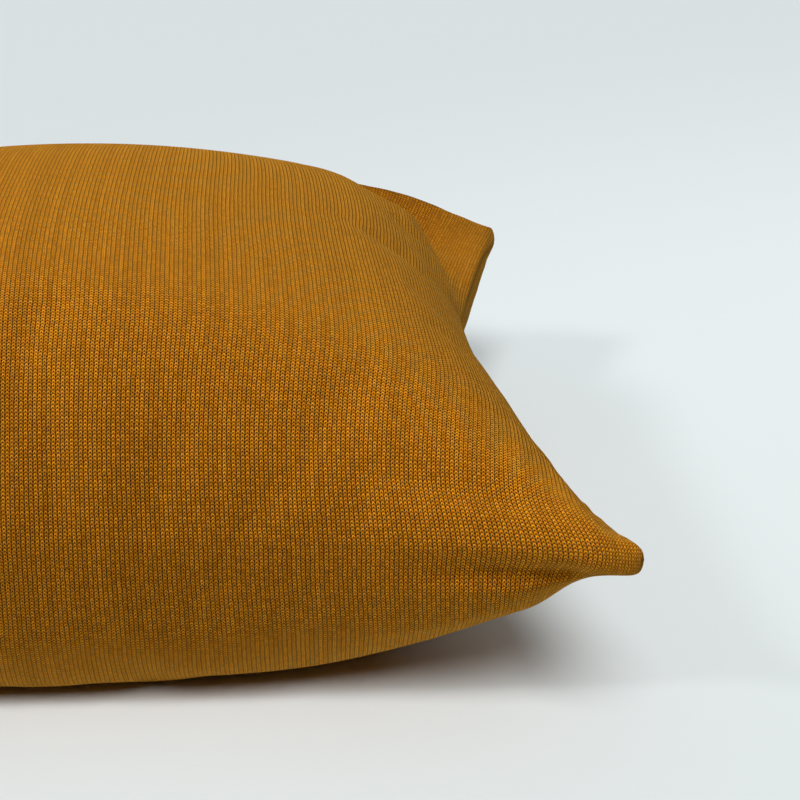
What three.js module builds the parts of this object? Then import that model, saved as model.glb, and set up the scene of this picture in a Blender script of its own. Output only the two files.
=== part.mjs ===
// A square knitted cushion cover, filled, lying on its back on a flat surface.
// One length of knit wraps over the front edge as a fold and is linked shut along its left and right sides.
// Millimetres, +Z up. X runs across the knitted ribs, Y from the front fold to the back edge.
import * as THREE from 'three';

// Driving sizes of the filled cover
const HALF_WIDTH = 240; // middle to a corner, across
const HALF_DEPTH = 246; // middle to a corner, front to back
const SIDE_DRAW_IN = 45.1; // how far a linked side pulls in at its middle
const FRONT_DRAW_IN = 42.8; // the same for the front fold
const BACK_DRAW_IN = 11; // and for the back edge
const CORNER_HEIGHT = 102; // height of the corners above the floor
const EDGE_HEIGHT = 83; // height of the middle of the linked sides
const FRONT_LIFT = 5; // how far the front fold stands above that at its middle
const BACK_LIFT = 49; // the same for the back edge, between its drooping ears
const CROWN = 108; // rise of the top above the edge line
const BELLY = 94.3; // drop of the underside below the edge line, until the floor stops it
const EDGE_THICKNESS = 10; // the rounded edge of two layers of knit and their seam
const EAR_EXTRA = 6.5; // how much thicker the edge is at a corner
const EAR_ROUND = 2.5; // how far the tip of an ear is rounded back
const FOOT_RISE = 12; // the underside leaves its flat foot at this height for each foot's half size outwards

// How the form changes between those sizes, as powers of the way from the middle (0) to the edge (1)
const SIDE_BOW = 2.34; // bow of a drawn-in side along its length
const SIDE_REACH = 4.2; // how close to the side the draw-in stays
const FRONT_BOW = 2.95;
const FRONT_REACH = 3.6;
const BACK_DRAW_BOW = 3.7;
const BACK_DRAW_REACH = 5.2;
const CORNER_RISE = 3; // how the edge line climbs to the corners
const CORNER_REACH = 6; // how close to a corner its own shift stays
const EDGE_ROUND = 60; // a higher power gives a tighter edge
const TIP_ROUND = 50;
const FRONT_LIFT_REACH = 10.8; // how close to the front fold its lift stays
const FRONT_LIFT_BOW = 1.36;
const BACK_REACH = 8; // how close to the back edge its lift stays
const BACK_BOW = 5; // how far out along the back edge its ears start to droop
const BACK_DROOP = 1.5;
const BACK_SAG = 0.45; // share of the lift lost at the middle of the back edge
const FLARE_REACH = 40; // how close to a linked side its flare stays
const FLARE_BOW = 0.78; // how the flare runs out towards the ear
const EAR_SIZE = 0.1; // as a share of the half width
const FOLD_MARGIN = 0.08; // folds fade out this close to an edge, the same way
const FOOT_SIZE = 0.441; // half size of the flat square foot, the same way

// How the filling swells the cover: more plumpness gives a broader crown, less roundness steeper sides
const TOP_ACROSS = { plumpness: 2.04, roundness: 0.55 };
const TOP_FRONT = { plumpness: 3.57, roundness: 0.825 };
const TOP_BACK = { plumpness: 2.04, roundness: 0.55 };
const UNDER_ACROSS = { plumpness: 2.4, roundness: 0.533 };
const UNDER_ALONG = { plumpness: 2.07, roundness: 0.44 };

// Where the filling does not reach, so that the cover lies flat: start, width and depth of each fade
const BACK_EARS = { start: 1, width: 0.45, depth: 1, alongShare: 0.7 }; // on across + share of along
const FRONT_FLAPS = { start: 0.93, width: 0.05, depth: 0.9, from: 0.45, fade: 0.25 }; // on across
const UNDER_EARS = { start: 1.747, width: 0.209, depth: 0.78 }; // on across + along

// Where a linked side spreads beside an ear, and where the back edge rises out of its sag
const FLARE = { start: 0.118, width: 0.631 }; // on along
const SHOULDER = { start: 0, width: 0.7 }; // on across

// The corners: side across and along, shift outwards and up, and spread of the linked side beside the ear
const CORNERS = [
  { across: 1, along: -1, outAcross: 3.1, outAlong: 4, lift: -5.2, flare: 43 },
  { across: 1, along: 1, outAcross: -3, outAlong: 5, lift: -8.8, flare: 10 },
  { across: -1, along: -1, outAcross: 1.8, outAlong: 3, lift: -4.6, flare: 36 },
  { across: -1, along: 1, outAcross: -1.2, outAlong: 4, lift: -7, flare: 8 },
];

// Soft folds, laid out on the flat panel: ends across and along, height (a hollow is negative) and width
const TOP_FOLDS = [
  { from: [150, 98], to: [212, -38], height: -2, width: 9 }, // crease above the right side
  { from: [168, 114], to: [228, -14], height: 2.2, width: 10 }, // tension ridge beside it
  { from: [186, 206], to: [228, 176], height: 1.6, width: 9 }, // soft ridge across the far right ear
  { from: [130, -226], to: [222, -237], height: -3.2, width: 9 }, // hollow above the front fold
  { from: [-154, 94], to: [-214, -30], height: -1.8, width: 10 }, // the same on the left
  { from: [-172, 110], to: [-228, -8], height: 2, width: 11 },
  { from: [-190, 210], to: [-226, 184], height: 1.4, width: 9 },
  { from: [-138, -226], to: [-224, -237], height: -2.8, width: 9 },
];
const UNDER_FOLDS = [
  { from: [120, -226], to: [206, -238], height: 2, width: 10 },
  { from: [172, 140], to: [228, 62], height: -2.4, width: 14 },
  { from: [-130, -226], to: [-208, -238], height: 1.8, width: 10 },
  { from: [-166, 148], to: [-228, 74], height: -2.2, width: 14 },
];

// The mesh: steps from edge to edge, closer together towards the edges
const STEPS = 46;
const STEP_GRADING = 1.6;

const OCHRE = '#a0681a';
const KNIT_ROUGHNESS = 0.92;

// Places from -1 to 1, finer towards both ends
function gradedPlaces() {
  return Array.from({ length: STEPS + 1 }, (_, step) => {
    const place = (2 * step) / STEPS - 1;
    return Math.sign(place) * (1 - (1 - Math.abs(place)) ** STEP_GRADING);
  });
}

function smoothStep(amount) {
  const held = THREE.MathUtils.clamp(amount, 0, 1);
  return held * held * (3 - 2 * held);
}

// 0 before a fade starts, 1 past its width
function faded(place, fade) {
  return smoothStep((place - fade.start) / fade.width);
}

// The share of the filling that is missing at a place of the top or the underside
function emptied(outX, along, side) {
  const outY = Math.abs(along);
  if (side < 0) return UNDER_EARS.depth * faded(outX + outY, UNDER_EARS);
  if (along > 0) return BACK_EARS.depth * faded(outX + BACK_EARS.alongShare * outY, BACK_EARS);
  const besideEar = smoothStep((outY - FRONT_FLAPS.from) / FRONT_FLAPS.fade);
  return FRONT_FLAPS.depth * faded(outX, FRONT_FLAPS) * besideEar;
}

// How far the front fold or the back edge stands above the edge line
function edgeLift(outX, along) {
  if (along < 0) return FRONT_LIFT * (-along) ** FRONT_LIFT_REACH * (1 - outX ** FRONT_LIFT_BOW);
  const droop = (1 - outX ** BACK_BOW) ** BACK_DROOP;
  const sag = BACK_SAG * (1 - faded(outX, SHOULDER));
  return BACK_LIFT * along ** BACK_REACH * droop * (1 - sag);
}

// How far the front fold or the back edge pulls in
function endDrawIn(outX, along) {
  if (along < 0) return FRONT_DRAW_IN * (-along) ** FRONT_REACH * (1 - outX ** FRONT_BOW);
  return BACK_DRAW_IN * along ** BACK_DRAW_REACH * (1 - outX ** BACK_DRAW_BOW);
}

// How full the cover is on the way from its middle (0) to an edge (1)
function swell(out, form) {
  return (1 - out ** form.plumpness) ** form.roundness;
}

// How full the top or the underside is at a place, 1 at most
function filling(outX, along, side) {
  const outY = Math.abs(along);
  const filled = 1 - emptied(outX, along, side);
  if (side < 0) return filled * swell(outX, UNDER_ACROSS) * swell(outY, UNDER_ALONG);
  return filled * swell(outX, TOP_ACROSS) * swell(outY, along < 0 ? TOP_FRONT : TOP_BACK);
}

// Height of one soft fold at a point of the flat panel, fading out sideways and towards its ends
function foldHeight(fold, point) {
  const start = new THREE.Vector2(...fold.from);
  const run = new THREE.Vector2(...fold.to).sub(start);
  const along = THREE.MathUtils.clamp(point.clone().sub(start).dot(run) / run.lengthSq(), 0, 1);
  const distance = point.distanceTo(start.addScaledVector(run, along));
  const endFade = smoothStep(3 * along) * smoothStep(3 * (1 - along));
  return fold.height * endFade * Math.exp(-((distance / fold.width) ** 2));
}

// One point of the cover: its place across and along the panel, and +1 for the top or -1 for the underside
function coverPoint(across, along, side) {
  const outX = Math.abs(across);
  const outY = Math.abs(along);
  const bothOut = outX * outY;
  const corner = CORNERS.find((row) => row.across * across >= 0 && row.along * along >= 0);
  const cornerShare = bothOut ** CORNER_REACH;
  const tipCut = EAR_ROUND * bothOut ** TIP_ROUND;

  const flare = corner.flare * (1 - outY) ** FLARE_BOW * faded(outY, FLARE) * outX ** FLARE_REACH;
  const sideDrawIn = SIDE_DRAW_IN * outX ** SIDE_REACH * (1 - outY ** SIDE_BOW) - flare;
  const x = Math.sign(across) * (HALF_WIDTH * outX - sideDrawIn + corner.outAcross * cornerShare - tipCut);
  const drawIn = endDrawIn(outX, along);
  const y = Math.sign(along) * (HALF_DEPTH * outY - drawIn + corner.outAlong * cornerShare - tipCut);

  const cornerRise = (CORNER_HEIGHT - EDGE_HEIGHT) * bothOut ** CORNER_RISE + corner.lift * cornerShare;
  const edgeLine = EDGE_HEIGHT + cornerRise + edgeLift(outX, along);
  const fromTip = Math.hypot(1 - outX, 1 - outY);
  const edgeSize = EDGE_THICKNESS + EAR_EXTRA * Math.exp(-((fromTip / EAR_SIZE) ** 2));
  const edgeRound = (edgeSize / 2) * Math.sqrt(1 - Math.max(outX, outY) ** EDGE_ROUND);

  const flatPoint = new THREE.Vector2(HALF_WIDTH * across, HALF_DEPTH * along);
  const folds = side > 0 ? TOP_FOLDS : UNDER_FOLDS;
  const inside = smoothStep((1 - Math.max(outX, outY)) / FOLD_MARGIN);
  const foldRise = inside * folds.reduce((sum, fold) => sum + foldHeight(fold, flatPoint), 0);

  const swollen = (side > 0 ? CROWN : BELLY) * filling(outX, along, side);
  const z = edgeLine + side * (swollen + edgeRound + foldRise);
  return new THREE.Vector3(x, y, side > 0 ? z : Math.max(z, floorHeight(outX, outY)));
}

// The lowest that the underside can lie: flat on its foot, and just clear of the floor around it
function floorHeight(outX, outY) {
  return FOOT_RISE * Math.max(Math.max(outX, outY) / FOOT_SIZE - 1, 0);
}

// The top and the underside are two grids that share their outer row of points
function coverGeometry() {
  const places = gradedPlaces();
  const points = [];
  const indexOf = new Map();
  const pointIndex = (column, row, side) => {
    const shared = [0, STEPS].includes(column) || [0, STEPS].includes(row);
    const key = `${column},${row},${shared ? 0 : side}`;
    if (!indexOf.has(key)) {
      indexOf.set(key, points.length);
      points.push(coverPoint(places[column], places[row], side));
    }
    return indexOf.get(key);
  };

  const triangles = [];
  for (const side of [1, -1]) {
    for (let column = 0; column < STEPS; column += 1) {
      for (let row = 0; row < STEPS; row += 1) {
        const a = pointIndex(column, row, side);
        const b = pointIndex(column + 1, row, side);
        const c = pointIndex(column + 1, row + 1, side);
        const d = pointIndex(column, row + 1, side);
        const rising = column < STEPS / 2 === row < STEPS / 2;
        const halves = rising ? [[a, b, c], [a, c, d]] : [[a, b, d], [b, c, d]];
        for (const half of halves) triangles.push(...(side > 0 ? half : half.reverse()));
      }
    }
  }

  const geometry = new THREE.BufferGeometry().setFromPoints(points);
  geometry.setIndex(triangles);
  return geometry;
}

// The floor's middle point under the cover is the origin
function standOnOrigin(geometry) {
  geometry.computeBoundingBox();
  const middle = geometry.boundingBox.getCenter(new THREE.Vector3());
  geometry.translate(-middle.x, -middle.y, 0);
  geometry.computeVertexNormals();
  return geometry;
}

const knit = new THREE.MeshStandardMaterial({ color: OCHRE, roughness: KNIT_ROUGHNESS, metalness: 0 });
const cover = new THREE.Mesh(standOnOrigin(coverGeometry()), knit);
cover.name = 'cushion_cover';

const cushion = new THREE.Group();
cushion.add(cover);

export default cushion;
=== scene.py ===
"""A knitted cushion cover, filled, lying on its back on a pale studio floor. Metres, +Z up."""

import math

import bpy
import numpy as np
from mathutils import Matrix, Vector


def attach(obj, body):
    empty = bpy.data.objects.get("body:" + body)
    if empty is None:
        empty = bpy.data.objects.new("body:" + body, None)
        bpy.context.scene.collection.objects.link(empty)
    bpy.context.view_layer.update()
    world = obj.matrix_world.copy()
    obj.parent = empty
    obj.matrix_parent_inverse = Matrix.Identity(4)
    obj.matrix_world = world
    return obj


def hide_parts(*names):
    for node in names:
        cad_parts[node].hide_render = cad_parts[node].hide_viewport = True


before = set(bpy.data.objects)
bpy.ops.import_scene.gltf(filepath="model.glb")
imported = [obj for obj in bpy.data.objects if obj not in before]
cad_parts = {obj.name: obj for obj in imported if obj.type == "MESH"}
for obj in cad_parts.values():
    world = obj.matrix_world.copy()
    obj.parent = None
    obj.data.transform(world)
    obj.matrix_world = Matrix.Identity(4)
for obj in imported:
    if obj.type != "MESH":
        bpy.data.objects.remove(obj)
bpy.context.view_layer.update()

# The filled cover's sizes, the same as the solid's
HALF_WIDTH = 0.240  # middle to a corner, across
HALF_DEPTH = 0.246  # middle to a corner, front to back
SIDE_DRAW_IN = 0.0451  # how far a linked side pulls in at its middle
FRONT_DRAW_IN = 0.0428  # the same for the front fold
BACK_DRAW_IN = 0.011  # and for the back edge
CORNER_HEIGHT = 0.102
EDGE_HEIGHT = 0.083  # height of the middle of the linked sides
FRONT_LIFT = 0.005  # how far the front fold stands above that at its middle
BACK_LIFT = 0.049  # the same for the back edge, between its drooping ears
CROWN = 0.108  # rise of the top above the edge line
BELLY = 0.0943  # drop of the underside below it, until the floor stops it
EDGE_THICKNESS = 0.010
EAR_EXTRA = 0.0065  # how much thicker the edge is at a corner
EAR_ROUND = 0.0025  # how far the tip of an ear is rounded back
FOOT_RISE = 0.012  # least rise of the underside outside its flat foot

# How the form changes from the middle (0) to the edge (1), as powers and shares of the half width
SIDE_BOW = 2.34
SIDE_REACH = 4.2
FRONT_BOW = 2.95
FRONT_REACH = 3.6
BACK_DRAW_BOW = 3.7
BACK_DRAW_REACH = 5.2
CORNER_RISE = 3
CORNER_REACH = 6
EDGE_ROUND = 60
TIP_ROUND = 50
FRONT_LIFT_REACH = 10.8
FRONT_LIFT_BOW = 1.36
BACK_REACH = 8
BACK_BOW = 5
BACK_DROOP = 1.5
BACK_SAG = 0.45
FLARE_REACH = 40
FLARE_BOW = 0.78
EAR_SIZE = 0.1
FOLD_MARGIN = 0.08
FOOT_SIZE = 0.441

# How the filling swells the cover: plumpness and roundness
TOP_ACROSS = (2.04, 0.55)
TOP_FRONT = (3.57, 0.825)
TOP_BACK = (2.04, 0.55)
UNDER_ACROSS = (2.4, 0.533)
UNDER_ALONG = (2.07, 0.44)

# Where the filling does not reach and the cover lies flat: start and width of each fade, and its depth
BACK_EARS = (1.0, 0.45)
BACK_EARS_ALONG = 0.7
FRONT_FLAPS = (0.93, 0.05)
FRONT_FLAPS_ALONG = (0.45, 0.25)
FRONT_FLAPS_DEPTH = 0.9
UNDER_EARS = (1.747, 0.209)
UNDER_EARS_DEPTH = 0.78

# Where a linked side spreads beside an ear, and where the back edge rises out of its sag
FLARE = (0.118, 0.631)
SHOULDER = (0.0, 0.7)

# Corners: side across and along, shift outwards across and along, lift,
# and how far the linked side spreads beside the ear
CORNERS = (
    (1, -1, 0.0031, 0.0040, -0.0052, 0.043),
    (1, 1, -0.0030, 0.0050, -0.0088, 0.010),
    (-1, -1, 0.0018, 0.0030, -0.0046, 0.036),
    (-1, 1, -0.0012, 0.0040, -0.0070, 0.008),
)

# Soft folds on the flat panel: start across and along, end across and along, height, width
TOP_FOLDS = (
    (0.150, 0.098, 0.212, -0.038, -0.0020, 0.009),
    (0.168, 0.114, 0.228, -0.014, 0.0022, 0.010),
    (0.186, 0.206, 0.228, 0.176, 0.0016, 0.009),
    (0.130, -0.226, 0.222, -0.237, -0.0032, 0.009),
    (-0.154, 0.094, -0.214, -0.030, -0.0018, 0.010),
    (-0.172, 0.110, -0.228, -0.008, 0.0020, 0.011),
    (-0.190, 0.210, -0.226, 0.184, 0.0014, 0.009),
    (-0.138, -0.226, -0.224, -0.237, -0.0028, 0.009),
)
UNDER_FOLDS = (
    (0.120, -0.226, 0.206, -0.238, 0.0020, 0.010),
    (0.172, 0.140, 0.228, 0.062, -0.0024, 0.014),
    (-0.130, -0.226, -0.208, -0.238, 0.0018, 0.010),
    (-0.166, 0.148, -0.228, 0.074, -0.0022, 0.014),
)

# A soft fold has three equal parts: it fades in over the first and out over the last
FOLD_PARTS = 3

# The knit: ribs (wales) across the cover, the length of one row (course),
# and how far from the front fold the ribs are straight
WALES = 274
COURSE_PITCH = 0.00151
FOLD_REACH = 0.035

# The linked sides and the back edge
SEAM_DEPTH = 0.0024
SEAM_WIDTH = 0.0028
SEAM_END = (0.012, 0.03)  # where a seam fades out before a corner
PUCKER_HEIGHT = 0.0009
PUCKER_START = 0.006
PUCKER_REACH = 0.022
PUCKERS = ((0.0173, 0.12), (0.0251, 0.37), (0.0387, 0.08), (0.0613, 0.21))  # length, shift

# The crease below the front fold beside each ear, and where it starts and ends across
CREASE_DEPTH = 0.0055
CREASE_WIDTH = 0.005
CREASE_DROP = 0.0105
CREASE_START = (0.13, 0.07)
CREASE_END = (0.212, 0.016)

# The slack of the cloth over its filling, simulated on a coarser grid
SLACK_STEPS = 84
SLACK_FRAMES = 20
SLACK_CLOTH = {
    "quality": 6,
    "mass": 0.15,
    "tension_stiffness": 12,
    "compression_stiffness": 12,
    "shear_stiffness": 4,
    "bending_stiffness": 0.4,
    "use_pressure": True,
    "uniform_pressure_force": 4,
    "shrink_min": -0.03,  # extra cloth, as a share
}
SLACK_FLOOR = 0.001  # the cloth is held below this height
SLACK_CAP = 0.008  # the furthest that a point moves

# The wrinkles are the short part of that movement: what the long blur takes away, smoothed a little
LONG_BLUR = 60
SHORT_BLUR = 8
WRINKLE_STRENGTH = 0.5
TAUT_EARS = (1.3, 0.45)  # where the wrinkles fade out towards the ears

# The cover's grid, finer towards its edges
GRID_STEPS = 216
GRID_GRADING = 1.35


def smooth_step(amount):
    """A soft rise from 0 to 1."""
    held = np.clip(amount, 0, 1)
    return held * held * (3 - 2 * held)


def faded(place, fade):
    """0 before a fade starts, 1 past its width."""
    start, width = fade
    return smooth_step((place - start) / width)


def graded_places(steps):
    """Places from -1 to 1, closer together towards both ends."""
    place = np.linspace(-1, 1, steps + 1)
    return np.sign(place) * (1 - (1 - np.abs(place)) ** GRID_GRADING)


def fold_heights(folds, across, along):
    """The soft folds at points of the flat panel, each fading out sideways and towards its ends."""
    total = np.zeros_like(across)
    for start_x, start_y, end_x, end_y, height, width in folds:
        run_x, run_y = end_x - start_x, end_y - start_y
        length = run_x**2 + run_y**2
        way = np.clip(((across - start_x) * run_x + (along - start_y) * run_y) / length, 0, 1)
        distance = np.hypot(across - start_x - way * run_x, along - start_y - way * run_y)
        fade = smooth_step(FOLD_PARTS * way) * smooth_step(FOLD_PARTS * (1 - way))
        total += height * fade * np.exp(-((distance / width) ** 2))
    return total


def corner_values(across, along, column):
    """The column's value of the corner nearest to each point."""
    value = np.zeros_like(across)
    for row in CORNERS:
        value = np.where((across * row[0] >= 0) & (along * row[1] >= 0), row[column], value)
    return value


def emptied(out_x, along, side):
    """The share of the filling that is missing at each place of the top or the underside."""
    out_y = np.abs(along)
    if side < 0:
        return UNDER_EARS_DEPTH * faded(out_x + out_y, UNDER_EARS)
    back = faded(out_x + BACK_EARS_ALONG * out_y, BACK_EARS)
    front = FRONT_FLAPS_DEPTH * faded(out_x, FRONT_FLAPS) * faded(out_y, FRONT_FLAPS_ALONG)
    return np.where(along > 0, back, front)


def swell(out, form):
    """How full the cover is on the way from its middle (0) to an edge (1)."""
    plumpness, roundness = form
    return (1 - out**plumpness) ** roundness


def filling(out_x, along, side):
    """How full the top or the underside is at each place, 1 at most."""
    out_y = np.abs(along)
    if side < 0:
        full = swell(out_x, UNDER_ACROSS) * swell(out_y, UNDER_ALONG)
    else:
        full_along = np.where(along < 0, swell(out_y, TOP_FRONT), swell(out_y, TOP_BACK))
        full = swell(out_x, TOP_ACROSS) * full_along
    return full * (1 - emptied(out_x, along, side))


def end_draw_in(out_x, along):
    """How far the front fold and the back edge pull in."""
    out_y = np.abs(along)
    front = FRONT_DRAW_IN * out_y**FRONT_REACH * (1 - out_x**FRONT_BOW)
    back = BACK_DRAW_IN * out_y**BACK_DRAW_REACH * (1 - out_x**BACK_DRAW_BOW)
    return np.where(along < 0, front, back)


def edge_line(out_x, along, corner_lift):
    """The height of the line along the edges that the top and the underside swell away from."""
    out_y = np.abs(along)
    both_out = out_x * out_y
    corner_rise = (CORNER_HEIGHT - EDGE_HEIGHT) * both_out**CORNER_RISE
    corner_rise = corner_rise + corner_lift * both_out**CORNER_REACH
    front = FRONT_LIFT * out_y**FRONT_LIFT_REACH * (1 - out_x**FRONT_LIFT_BOW)
    sag = BACK_SAG * (1 - faded(out_x, SHOULDER))
    back = BACK_LIFT * out_y**BACK_REACH * (1 - out_x**BACK_BOW) ** BACK_DROOP * (1 - sag)
    return EDGE_HEIGHT + corner_rise + np.where(along < 0, front, back)


def cover_points(across, along, side):
    """Points of the cover at places (-1 to 1) of its top panel (side 1) or underside (side -1)."""
    out_x, out_y = np.abs(across), np.abs(along)
    both_out = out_x * out_y
    outermost = np.maximum(out_x, out_y)
    shift_x, shift_y, lift, spread = (corner_values(across, along, column) for column in range(2, 6))
    corner_share = both_out**CORNER_REACH
    tip_cut = EAR_ROUND * both_out**TIP_ROUND
    flare = spread * (1 - out_y) ** FLARE_BOW * faded(out_y, FLARE) * out_x**FLARE_REACH
    side_draw = SIDE_DRAW_IN * out_x**SIDE_REACH * (1 - out_y**SIDE_BOW) - flare
    x = np.sign(across) * (HALF_WIDTH * out_x - side_draw + shift_x * corner_share - tip_cut)
    end_draw = end_draw_in(out_x, along)
    y = np.sign(along) * (HALF_DEPTH * out_y - end_draw + shift_y * corner_share - tip_cut)

    from_tip = np.hypot(1 - out_x, 1 - out_y)
    edge_size = EDGE_THICKNESS + EAR_EXTRA * np.exp(-((from_tip / EAR_SIZE) ** 2))
    edge_round = edge_size / 2 * np.sqrt(1 - outermost**EDGE_ROUND)
    folds = TOP_FOLDS if side > 0 else UNDER_FOLDS
    fold_rise = fold_heights(folds, HALF_WIDTH * across, HALF_DEPTH * along)
    fold_rise = fold_rise * smooth_step((1 - outermost) / FOLD_MARGIN)
    swollen = (CROWN if side > 0 else BELLY) * filling(out_x, along, side)
    z = edge_line(out_x, along, lift) + side * (swollen + edge_round + fold_rise)
    if side < 0:
        z = np.maximum(z, FOOT_RISE * np.maximum(outermost / FOOT_SIZE - 1, 0))
    return np.stack([x, y, z], axis=-1)


def way_along(points, axis):
    """The way along each grid line of the cloth, measured over the surface."""
    steps = np.linalg.norm(np.diff(points, axis=axis), axis=-1)
    way = np.cumsum(steps, axis=axis)
    return np.concatenate([np.zeros_like(np.take(way, [0], axis)), way], axis=axis)


def stitch_places(panels):
    """Wale and course numbers. Courses count from the front fold, which the wales cross straight."""
    along = {side: way_along(points, 1) for side, points in panels.items()}
    shares, held = {}, {}
    for side, points in panels.items():
        across = way_along(points, 0)
        shares[side] = across / across[-1:] - 0.5
        rows = zip(along[side], shares[side])
        held[side] = np.array([[np.interp(FOLD_REACH, way, share)] for way, share in rows])
    at_fold = (held[1] + held[-1]) / 2
    stitches = {}
    for side in panels:
        way = np.minimum(along[side] / FOLD_REACH, 1)
        straight = at_fold + (held[side] - at_fold) * way
        share = straight + (shares[side] - straight) * smooth_step(way)
        stitches[side] = np.stack([share * WALES, side * along[side] / COURSE_PITCH], axis=-1)
    return stitches


def edge_ways(points):
    """The way over the surface from the nearer linked side, the front fold and the back edge."""
    across, along = way_along(points, 0), way_along(points, 1)
    return np.minimum(across, across[-1:] - across), along, along[:, -1:] - along


def crease_depths(points, from_front, side):
    """How deep the crease below the front fold is at each point. It lies beside the ears only."""
    out = np.abs(points[..., 0])
    beside_ear = faded(out, CREASE_START) * (1 - faded(out, CREASE_END))
    from_crease = from_front + side * CREASE_DROP
    return CREASE_DEPTH * np.exp(-((from_crease / CREASE_WIDTH) ** 2)) * beside_ear


def sewn(points, side):
    """The panel with its seams pulled in, the small puckers beside them, and the creases."""
    from_sides, from_front, from_back = edge_ways(points)
    side_seams = (0, from_front, from_sides, np.minimum(from_front, from_back))
    back_seam = (1, way_along(points, 0), from_back, from_sides)
    drawn = points.copy()
    for axis, way, from_seam, from_tip in (side_seams, back_seam):
        clear_of_tip = faded(from_tip, SEAM_END)
        groove = SEAM_DEPTH * np.exp(-((from_seam / SEAM_WIDTH) ** 2))
        drawn[..., axis] -= np.sign(points[..., axis]) * groove * clear_of_tip
        ripple = sum(np.sin(2 * math.pi * (way / length + shift * side)) for length, shift in PUCKERS)
        reach = np.exp(-((from_seam / PUCKER_REACH) ** 2)) * smooth_step(from_seam / PUCKER_START)
        drawn[..., 2] += side * PUCKER_HEIGHT * ripple / len(PUCKERS) * reach * clear_of_tip
    drawn[..., 1] += crease_depths(points, from_front, side)
    return drawn


def cover_grid(steps):
    """The points of both panels, and the point number at every place of each."""
    places = graded_places(steps)
    across, along = np.meshgrid(places, places, indexing="ij")
    panels = {side: cover_points(across, along, side) for side in (1, -1)}
    count = (steps + 1) ** 2
    top_index = np.arange(count).reshape(across.shape)
    inside = np.zeros(across.shape, dtype=bool)
    inside[1:-1, 1:-1] = True
    under_index = top_index.copy()
    under_index[inside] = count + np.arange(inside.sum())
    return panels, {1: top_index, -1: under_index}


def joined(panels, index):
    """The points of both panels as one list. The panels share their outer row."""
    points = np.zeros((index[-1].max() + 1, 3))
    for side in (-1, 1):
        points[index[side].ravel()] = panels[side].reshape(-1, 3)
    return points


def quad_corners(values, side):
    """The values at the four corners of each quad of a panel, in the order that faces outwards."""
    steps = len(values) - 1
    corners = [(0, 0), (1, 0), (1, 1), (0, 1)][::side]
    return np.stack([values[i : i + steps, j : j + steps] for i, j in corners], axis=2)


def cloth_mesh(name, panels, index):
    """Both panels as one closed mesh of quads."""
    quads = [quad_corners(index[side], side).reshape(-1, 4) for side in (1, -1)]
    mesh = bpy.data.meshes.new(name)
    mesh.from_pydata(joined(panels, index).tolist(), [], np.concatenate(quads).tolist())
    return mesh


def blurred(values, times):
    """Values on a grid, each averaged with its neighbours a number of times. The outer row is kept."""
    for _ in range(times):
        inner = (values[:-2, 1:-1] + values[2:, 1:-1] + values[1:-1, :-2] + values[1:-1, 2:]) / 4
        values = values.copy()
        values[1:-1, 1:-1] = (values[1:-1, 1:-1] + inner) / 2
    return values


def slack_cloth():
    """How each point of a cloth slightly larger than the filled form moves away from it."""
    panels, index = cover_grid(SLACK_STEPS)
    start = joined(panels, index)
    piece = bpy.data.objects.new("slack_cloth", cloth_mesh("slack_cloth", panels, index))
    bpy.context.collection.objects.link(piece)
    held = piece.vertex_groups.new(name="held")
    at_edge = np.intersect1d(index[1], index[-1])
    on_floor = np.flatnonzero(start[:, 2] < SLACK_FLOOR)
    held.add(np.union1d(at_edge, on_floor).tolist(), 1.0, "REPLACE")
    cloth = piece.modifiers.new("slack", "CLOTH").settings
    for name, value in SLACK_CLOTH.items():
        setattr(cloth, name, value)
    cloth.vertex_group_mass = held.name
    cloth.effector_weights.gravity = 0
    for number in range(1, SLACK_FRAMES + 1):
        bpy.context.scene.frame_set(number)
    moved = piece.evaluated_get(bpy.context.evaluated_depsgraph_get()).data
    places = np.zeros(start.size, dtype=np.float32)
    moved.vertices.foreach_get("co", places)
    movement = places.reshape(-1, 3) - start
    size = np.linalg.norm(movement, axis=-1, keepdims=True)
    movement *= SLACK_CAP / np.maximum(size, SLACK_CAP)
    bpy.data.meshes.remove(piece.data)
    bpy.context.scene.frame_set(1)
    return {side: movement[index[side]] for side in (1, -1)}


def on_finer_grid(values, steps):
    """Values of a coarse panel grid at the places of a finer one."""
    coarse = graded_places(len(values) - 1)
    fine = graded_places(steps)
    shares = np.stack([np.interp(fine, coarse, unit) for unit in np.eye(len(coarse))], axis=1)
    return np.einsum("ia,jb,abk->ijk", shares, shares, values, optimize=True)


def wrinkled(panels):
    """The panels with the wrinkles of the slack cloth, which the taut ears do not have."""
    out = np.abs(graded_places(GRID_STEPS))
    loose = 1 - faded(out[:, None, None] + out[None, :, None], TAUT_EARS)
    loosened = {}
    for side, movement in slack_cloth().items():
        wrinkles = movement - blurred(movement, LONG_BLUR)
        wrinkles = blurred(on_finer_grid(wrinkles, GRID_STEPS), SHORT_BLUR)
        loosened[side] = panels[side] + WRINKLE_STRENGTH * loose * wrinkles
    return loosened


def seam_distances(panels, index):
    """How far each point is from the nearest seam, over the surface."""
    distances = np.zeros(index[-1].max() + 1)
    for side, points in panels.items():
        from_sides, _, from_back = edge_ways(points)
        distances[index[side]] = np.minimum(from_sides, from_back)
    return distances


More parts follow.
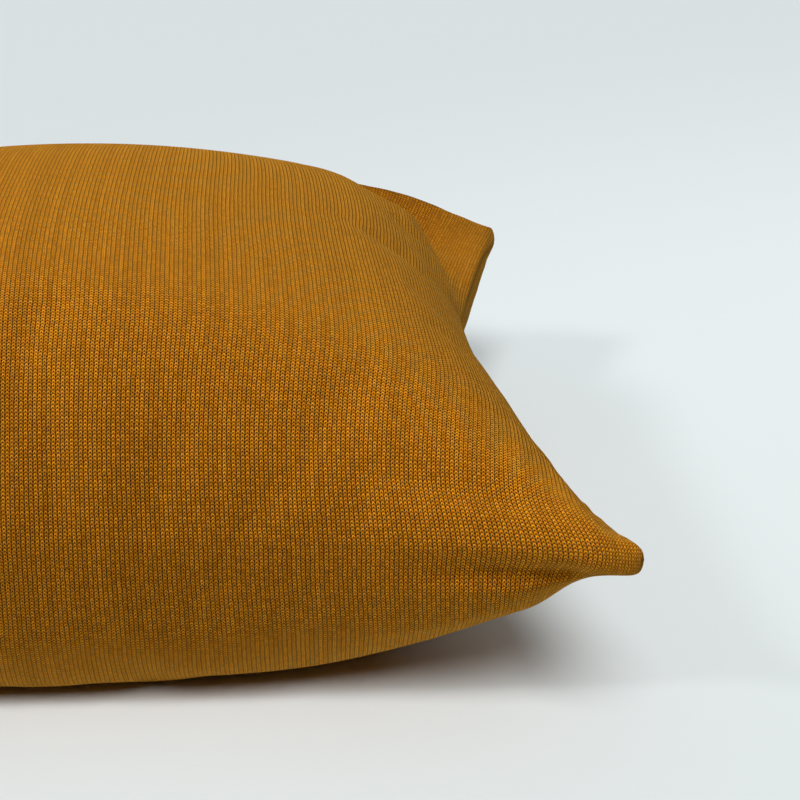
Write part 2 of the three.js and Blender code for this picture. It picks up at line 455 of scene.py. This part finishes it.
def cover_mesh():
    """The cover, with its stitch numbers as a map and the distance from its seams at every point."""
    panels, index = cover_grid(GRID_STEPS)
    stitches = stitch_places(panels)
    from_seam = seam_distances(panels, index)
    panels = {side: sewn(points, side) for side, points in wrinkled(panels).items()}
    panels[-1][..., 2] = np.maximum(panels[-1][..., 2], 0)  # nothing goes through the floor
    mesh = cloth_mesh("knitted_cover", panels, index)
    points = joined(panels, index)
    # Its box is centred over the origin, as the solid's is
    middle = (points.min(axis=0) + points.max(axis=0)) / 2
    mesh.transform(Matrix.Translation((-middle[0], -middle[1], 0)))
    layer = mesh.uv_layers.new(name="stitches")
    maps = [quad_corners(stitches[side], side).reshape(-1, 2) for side in (1, -1)]
    layer.uv.foreach_set("vector", np.concatenate(maps).astype(np.float32).ravel())
    mesh.attributes.new("from_seam", "FLOAT", "POINT").data.foreach_set("value", from_seam)
    mesh.polygons.foreach_set("use_smooth", np.ones(len(mesh.polygons), dtype=bool))
    mesh.update()
    return mesh


# The yarn, and how it looks in light
YARN_YELLOW = (0.66, 0.248, 0.006, 1)
YARN_ORANGE = (0.68, 0.232, 0.013, 1)
YARN_GAP_SHADE = (0.06, 0.006, 0.0001, 1)  # painted shade between the yarns, in the gaps between rows and the grooves between ribs
YARN_FINISH = {
    "Roughness": 0.9,
    "Specular IOR Level": 0.03,
    "Sheen Weight": 0.5,
    "Sheen Roughness": 0.35,
    "Sheen Tint": (1.0, 0.66, 0.1, 1),
}

# The stitches: bump in metres, and the rest as shares and powers of one stitch
STITCH_DEPTH = 0.0005
STITCH_ARCH = 0.7
ARCH_BOW = 1.4
STITCH_WOBBLE = 0.3
WOBBLE_SCALE = 0.45
LEG_GAP = 0.5  # depth of the gap between rows on a leg of a stitch
GAP_EXTRA = 0.72  # how much deeper it is beside the leg
RIB_GROOVE = 0.85
RIB_GROOVE_BOW = 4.0
STITCH_UNEVEN = 0.4
RIB_UNEVEN = 0.2

# The painted shade line in the groove of a seam
SEAM_LINE = 0.0018
SEAM_SHADE = 0.75


class NodeBench:
    """Adds nodes to a tree and wires them up."""

    def __init__(self, tree):
        self.tree = tree

    def add(self, kind, inputs=None, **settings):
        node = self.tree.nodes.new(kind)
        for name, value in settings.items():
            setattr(node, name, value)
        for name, value in (inputs or {}).items():
            self.plug(node.inputs[name], value)
        return node

    def plug(self, socket, value):
        if isinstance(value, bpy.types.NodeSocket):
            self.tree.links.new(value, socket)
        else:
            socket.default_value = value

    def math(self, operation, first, second=0.0, third=0.0):
        node = self.tree.nodes.new("ShaderNodeMath")
        node.operation = operation
        for socket, value in zip(node.inputs, (first, second, third)):
            self.plug(socket, value)
        return node.outputs[0]

    def vector(self, operation, first, second=(0.0, 0.0, 0.0)):
        node = self.tree.nodes.new("ShaderNodeVectorMath")
        node.operation = operation
        self.plug(node.inputs[0], first)
        self.plug(node.inputs[1], second)
        return node.outputs[0]


def knit_group():
    """Plain knit from wale and course numbers: the yarn's height, its painted shade in the gaps and rib
    grooves times each stitch's own lighter or darker tone, and each stitch's tint.
    """
    tree = bpy.data.node_groups.new("plain_knit", "ShaderNodeTree")
    tree.interface.new_socket("Stitches", in_out="INPUT", socket_type="NodeSocketVector")
    tree.interface.new_socket("Height", in_out="OUTPUT", socket_type="NodeSocketFloat")
    tree.interface.new_socket("Shade_and_tone", in_out="OUTPUT", socket_type="NodeSocketFloat")
    tree.interface.new_socket("Tint", in_out="OUTPUT", socket_type="NodeSocketFloat")
    bench = NodeBench(tree)
    stitches = bench.add("NodeGroupInput").outputs["Stitches"]
    # No stitch sits quite in its place
    wobble = bench.add(
        "ShaderNodeTexNoise",
        {"Vector": stitches, "Scale": WOBBLE_SCALE, "Detail": 1.0},
        noise_dimensions="2D",
    )
    wobble = bench.vector("SUBTRACT", wobble.outputs["Color"], (0.5, 0.5, 0.5))
    wobble = bench.vector("MULTIPLY", wobble, (STITCH_WOBBLE, STITCH_WOBBLE, 0.0))
    place = bench.add("ShaderNodeSeparateXYZ", {0: bench.vector("ADD", stitches, wobble)}).outputs
    # A row arches from the middle of a rib to its sides
    wale = bench.math("FLOOR", place["X"])
    across = bench.math("SUBTRACT", bench.math("FRACT", place["X"]), 0.5)
    out = bench.math("MULTIPLY", bench.math("ABSOLUTE", across), 2.0)
    arched = bench.math("MULTIPLY_ADD", bench.math("POWER", out, ARCH_BOW), STITCH_ARCH, place["Y"])
    course = bench.math("FLOOR", arched)
    # Rows have gaps between them, and ribs have grooves
    in_row = bench.math("SUBTRACT", bench.math("FRACT", arched), 0.5)
    turn = bench.math("MULTIPLY", in_row, 2 * math.pi)
    gap = bench.math("MULTIPLY_ADD", bench.math("COSINE", turn), -0.5, 0.5)
    from_leg = bench.math("MULTIPLY_ADD", out, 2.0, -1.0)
    beside_leg = bench.math("MULTIPLY", from_leg, from_leg)
    opening = bench.math("MULTIPLY_ADD", beside_leg, GAP_EXTRA, LEG_GAP)
    hole = bench.math("MULTIPLY", gap, opening)
    groove = bench.math("MULTIPLY", bench.math("POWER", out, RIB_GROOVE_BOW), RIB_GROOVE)
    depth = bench.math("ADD", hole, groove)
    height = bench.math("SUBTRACT", 1.0, depth)
    # Each stitch and each rib is a little lighter or darker than the next
    seat = bench.add("ShaderNodeCombineXYZ", {"X": wale, "Y": course}).outputs[0]
    own = bench.add("ShaderNodeTexWhiteNoise", {"Vector": seat}, noise_dimensions="2D").outputs
    lit = bench.math("MULTIPLY_ADD", own["Value"], STITCH_UNEVEN, 1 - STITCH_UNEVEN / 2)
    rib = bench.add("ShaderNodeTexWhiteNoise", {"W": wale}, noise_dimensions="1D").outputs["Value"]
    rib_lit = bench.math("MULTIPLY_ADD", rib, RIB_UNEVEN, 1 - RIB_UNEVEN / 2)
    lit = bench.math("MULTIPLY", lit, rib_lit)
    # Painted shade: the colour darkens where the yarn lies low, times each stitch's own tone
    shade_and_tone = bench.math("MULTIPLY", bench.math("MAXIMUM", height, 0.0), lit)
    tint = bench.add("ShaderNodeSeparateXYZ", {0: own["Color"]}).outputs["Y"]
    bench.add("NodeGroupOutput", {"Height": height, "Shade_and_tone": shade_and_tone, "Tint": tint})
    return tree


def seam_group():
    """The narrow line of painted shade where two panels are linked, by the distance from it: 1 in it, 0
    beside it.
    """
    tree = bpy.data.node_groups.new("linked_seam", "ShaderNodeTree")
    tree.interface.new_socket("Distance", in_out="INPUT", socket_type="NodeSocketFloat")
    tree.interface.new_socket("Line", in_out="OUTPUT", socket_type="NodeSocketFloat")
    bench = NodeBench(tree)
    distance = bench.add("NodeGroupInput").outputs["Distance"]
    near = bench.math("SUBTRACT", 1.0, bench.math("DIVIDE", distance, SEAM_LINE))
    bench.add("NodeGroupOutput", {"Line": bench.math("MAXIMUM", near, 0.0)})
    return tree


def new_material(name, finish):
    """A material with the plain values of its finish set, and its shader."""
    material = bpy.data.materials.new(name)
    material.use_nodes = True
    shader = material.node_tree.nodes["Principled BSDF"]
    for socket, value in finish.items():
        shader.inputs[socket].default_value = value
    return material, shader


def knit_material():
    """Mustard yarn, knitted plain, with shade painted darker between its stitches and in its seams."""
    material, shader = new_material("mustard_knit", YARN_FINISH)
    bench = NodeBench(material.node_tree)
    stitches = bench.add("ShaderNodeUVMap", uv_map="stitches").outputs["UV"]
    knit = bench.add("ShaderNodeGroup", node_tree=knit_group())
    bench.plug(knit.inputs["Stitches"], stitches)
    from_seam = bench.add("ShaderNodeAttribute", attribute_name="from_seam").outputs["Fac"]
    seam = bench.add("ShaderNodeGroup", node_tree=seam_group())
    bench.plug(seam.inputs["Distance"], from_seam)
    # Painted shade along the seam line: the yarn darkens by SEAM_SHADE in it
    seam_shade_factor = bench.math("MULTIPLY_ADD", seam.outputs["Line"], -SEAM_SHADE, 1.0)
    yarn = bench.add(
        "ShaderNodeMix",
        {"Factor": knit.outputs["Tint"], "A": YARN_YELLOW, "B": YARN_ORANGE},
        data_type="RGBA",
    )
    shade_and_tone = bench.math("MULTIPLY", knit.outputs["Shade_and_tone"], seam_shade_factor)
    # The colour runs from the painted gap shade where the yarn lies low to the yarn's own colour
    colour = bench.add(
        "ShaderNodeMix",
        {"Factor": shade_and_tone, "A": YARN_GAP_SHADE, "B": yarn.outputs["Result"]},
        data_type="RGBA",
        clamp_factor=False,
    )
    bench.plug(shader.inputs["Base Color"], colour.outputs["Result"])
    bump = bench.add("ShaderNodeBump", {"Height": knit.outputs["Height"], "Distance": STITCH_DEPTH})
    bench.plug(shader.inputs["Normal"], bump.outputs["Normal"])
    return material


# The studio
FLOOR_FINISH = {"Base Color": (0.80, 0.86, 0.87, 1), "Roughness": 0.8, "Specular IOR Level": 0.2}
FLOOR_RADIUS = 30.0
FLOOR_SIDES = 96
ROOM_COLOUR = (0.86, 0.94, 1.0, 1)
ROOM_STRENGTH = 0.02
SPOT_SOFTNESS = 0.5


def pointing(azimuth, elevation):
    """The direction from the cushion towards a light or the camera, by its angles in degrees."""
    turn, rise = math.radians(azimuth), math.radians(elevation)
    return Vector((math.sin(turn) * math.cos(rise), -math.cos(turn) * math.cos(rise), math.sin(rise)))


def studio_floor():
    """A wide round floor, plain and pale."""
    bpy.ops.mesh.primitive_circle_add(vertices=FLOOR_SIDES, radius=FLOOR_RADIUS, fill_type="NGON")
    floor = bpy.context.object
    floor.name = "studio_floor"
    material, _ = new_material("pale_floor", FLOOR_FINISH)
    floor.data.materials.append(material)
    return floor


def lit_group(name, piece):
    """A group for a lamp that lights one piece only."""
    group = bpy.data.collections.new(name)
    group.objects.link(piece)
    return group


def hung_lamp(light, azimuth, elevation, lit):
    """A lamp that shines from its azimuth, 0 in front and 90 on the right, on all or on a lit group."""
    lamp = bpy.data.objects.new(light.name, light)
    lamp.rotation_euler = (-pointing(azimuth, elevation)).to_track_quat("-Z", "Y").to_euler()
    bpy.context.collection.objects.link(lamp)
    if lit:
        lamp.light_linking.receiver_collection = lit
    return lamp


def soft_light(name, azimuth, elevation, spread, strength, lit=None):
    """A far soft light. Its spread is the angle across it."""
    light = bpy.data.lights.new(name, "SUN")
    light.energy = strength
    light.angle = math.radians(spread)
    hung_lamp(light, azimuth, elevation, lit)


def soft_spot(name, azimuth, elevation, target, distance, cone, strength, lit=None):
    """A spot with a soft edge, which lights the place around its target."""
    light = bpy.data.lights.new(name, "SPOT")
    light.energy = strength
    light.shadow_soft_size = SPOT_SOFTNESS
    light.spot_size = math.radians(cone)
    light.spot_blend = 1.0
    lamp = hung_lamp(light, azimuth, elevation, lit)
    lamp.location = Vector(target) + pointing(azimuth, elevation) * distance


def studio_light(floor, cover):
    """A dim room with one lamp for everything, two for the cover and two for the floor."""
    world = bpy.data.worlds.new("studio")
    world.use_nodes = True
    background = world.node_tree.nodes["Background"]
    background.inputs["Color"].default_value = ROOM_COLOUR
    background.inputs["Strength"].default_value = ROOM_STRENGTH
    bpy.context.scene.world = world
    bpy.context.scene.view_settings.view_transform = "Standard"
    on_floor = lit_group("lit_floor", floor)
    on_cover = lit_group("lit_cover", cover)
    soft_light("ceiling", azimuth=0, elevation=90, spread=110, strength=0.69)
    soft_light("overhead", azimuth=315, elevation=75, spread=40, strength=2.36, lit=on_cover)
    soft_light("left", azimuth=270, elevation=35, spread=35, strength=2.3, lit=on_cover)
    soft_light("floor_front", azimuth=0, elevation=46, spread=25, strength=2.9, lit=on_floor)
    soft_spot(
        "floor_spot",
        azimuth=312,
        elevation=36,
        target=(0.52, 0.38, 0.0),
        distance=5.0,
        cone=11.5,
        strength=400,
        lit=on_floor,
    )


# The camera, at the photograph's angle
VIEW_AZIMUTH = -3.604
VIEW_ELEVATION = 19.283
VIEW_ROLL = 0.123
VIEW_DISTANCE = 1.0495
VIEW_TARGET = (0.1615, -0.0079, 0.080)
VIEW_LENS = 96.32
VIEW_SENSOR = 36


def photo_camera():
    """The camera that looks at its target from the view's distance and angles."""
    data = bpy.data.cameras.new("photo_camera")
    data.lens = VIEW_LENS
    data.sensor_width = VIEW_SENSOR
    camera = bpy.data.objects.new("photo_camera", data)
    back = pointing(VIEW_AZIMUTH, VIEW_ELEVATION)
    turn = (-back).to_track_quat("-Z", "Y").to_matrix().to_4x4()
    roll = Matrix.Rotation(math.radians(VIEW_ROLL), 4, "Z")
    camera.matrix_world = Matrix.Translation(Vector(VIEW_TARGET) + back * VIEW_DISTANCE) @ turn @ roll
    bpy.context.collection.objects.link(camera)
    bpy.context.scene.camera = camera


photo_camera()
floor = studio_floor()

cover = bpy.data.objects.new("knitted_cover", cover_mesh())
bpy.context.collection.objects.link(cover)
cover.data.materials.append(knit_material())
studio_light(floor, cover)
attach(cover, "root")
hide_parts("cushion_cover")
